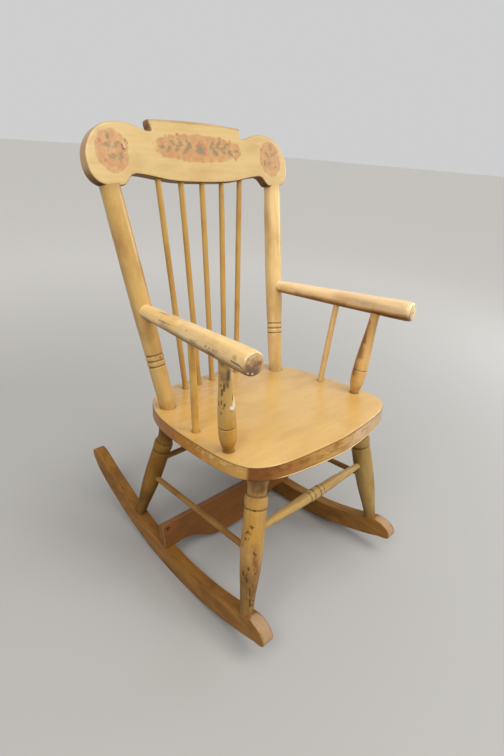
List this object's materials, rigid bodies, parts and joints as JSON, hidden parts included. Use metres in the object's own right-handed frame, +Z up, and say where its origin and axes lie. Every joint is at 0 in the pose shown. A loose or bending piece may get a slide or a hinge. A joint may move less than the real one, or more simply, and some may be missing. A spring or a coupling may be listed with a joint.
{
  "type": "boston rocking chair",
  "caption": "Child's wooden rocking chair with a shaped crest rail, turned posts and legs, round arms, a flat seat and two sawn rockers joined by a cross board.",
  "frame": {"origin": "on the floor under the centre of the bounding box, with the rockers' lowest points at z = 0", "axes": "+Z up, the sitter looks along -Y, +X is the sitter's left"},
  "size_m": [0.4112, 0.525, 0.7245],
  "materials": {
    "painted_wood": "honey-yellow lacquer, worn and chipped",
    "stained_wood": "orange-brown stain, semi-gloss, worn",
    "steel": "dull, darkened"
  },
  "bodies": {
    "root": {"seat": "painted_wood", "crest_rail": "painted_wood", "back_post_left": "painted_wood", "back_post_right": "painted_wood", "back_spindle_1": "painted_wood", "back_spindle_2": "painted_wood", "back_spindle_3": "painted_wood", "back_spindle_4": "painted_wood", "back_spindle_5": "painted_wood", "arm_left": "painted_wood", "arm_right": "painted_wood", "arm_post_left": "painted_wood", "arm_post_right": "painted_wood", "arm_spindle_left": "painted_wood", "arm_spindle_right": "painted_wood", "leg_front_left": "painted_wood", "leg_front_right": "painted_wood", "leg_rear_left": "painted_wood", "leg_rear_right": "painted_wood", "stretcher_front": "painted_wood", "stretcher_rear": "painted_wood", "stretcher_side_left": "painted_wood", "stretcher_side_right": "painted_wood", "rocker_left": "stained_wood", "rocker_right": "stained_wood", "cross_board": "stained_wood", "board_screw_left": "steel", "board_screw_right": "steel", "board_nail_1": "steel", "board_nail_2": "steel"}
  },
  "joints": []
}
